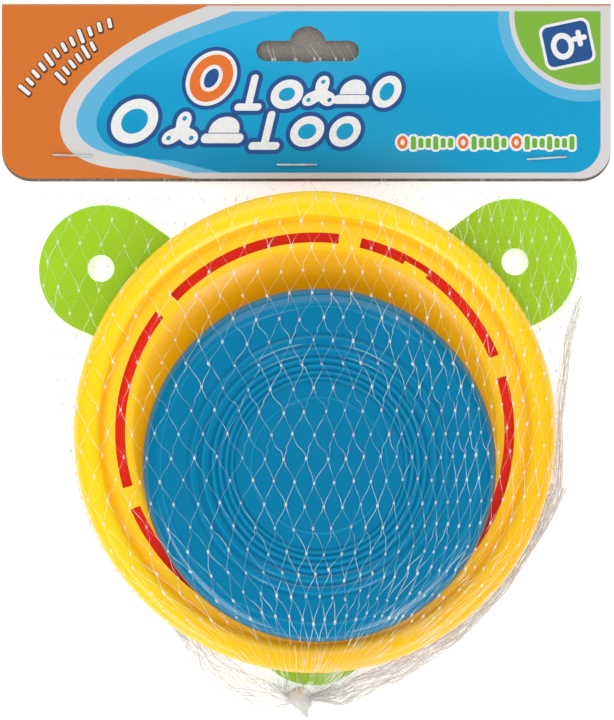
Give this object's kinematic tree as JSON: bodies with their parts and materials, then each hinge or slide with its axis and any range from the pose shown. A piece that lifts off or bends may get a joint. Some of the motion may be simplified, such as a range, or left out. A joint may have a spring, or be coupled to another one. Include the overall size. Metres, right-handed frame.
{
  "type": "ring toss set",
  "caption": "Toss game set in a stapled net bag: header card, lobed peg base, nested rings, flying disc and pegs.",
  "frame": {"origin": "centre of the pack's outline, on the surface that it lies on", "axes": "+Y towards the header card's fold, +Z out of the front of the pack, +X to the right seen from the front"},
  "size_m": [0.19, 0.2228, 0.025],
  "materials": {
    "header_card": "coated paperboard, printed",
    "staples": "bright wire",
    "net": "translucent extruded netting",
    "bag_weld": "melted netting",
    "target_base": "moulded, semi-gloss",
    "red_ring": "moulded, semi-gloss",
    "yellow_ring": "moulded, semi-gloss",
    "blue_disc": "moulded, semi-gloss",
    "pegs": "moulded, semi-gloss"
  },
  "bodies": {
    "pack": {"net_bag": "net", "bag_weld": "bag_weld", "target_base": "target_base"},
    "header": {"header_card": "header_card", "staple_left": "staples", "staple_middle": "staples", "staple_right": "staples", "net_collar": "net"},
    "red_ring": {"red_ring": "red_ring"},
    "yellow_ring": {"yellow_ring": "yellow_ring"},
    "blue_disc": {"blue_disc": "blue_disc"},
    "peg_left": {"peg_left": "pegs"},
    "peg_middle": {"peg_middle": "pegs"},
    "peg_right": {"peg_right": "pegs"}
  },
  "joints": [
    {"name": "header_flap", "type": "hinge", "parent": "pack", "child": "header", "pos_m": [0, 0.0558, 0.003], "axis": [1, 0, 0], "range_deg": [0, 90]},
    {"name": "red_ring_turn", "type": "hinge", "parent": "pack", "child": "red_ring", "pos_m": [0.0026, -0.0221, 0.0118], "axis": [0, 0, 1], "continuous": true},
    {"name": "yellow_ring_turn", "type": "hinge", "parent": "pack", "child": "yellow_ring", "pos_m": [0.0026, -0.0221, 0.0143], "axis": [0, 0, 1], "continuous": true},
    {"name": "blue_disc_turn", "type": "hinge", "parent": "pack", "child": "blue_disc", "pos_m": [0.004, -0.0324, 0.0155], "axis": [0, 0, 1], "continuous": true},
    {"name": "peg_left_slide", "type": "slide", "parent": "pack", "child": "peg_left", "axis": [0, 1, 0], "range_m": [-0.002, 0.002]},
    {"name": "peg_middle_slide", "type": "slide", "parent": "pack", "child": "peg_middle", "axis": [0, 1, 0], "range_m": [-0.004, 0.004]},
    {"name": "peg_right_slide", "type": "slide", "parent": "pack", "child": "peg_right", "axis": [0, 1, 0], "range_m": [-0.002, 0.002]}
  ]
}
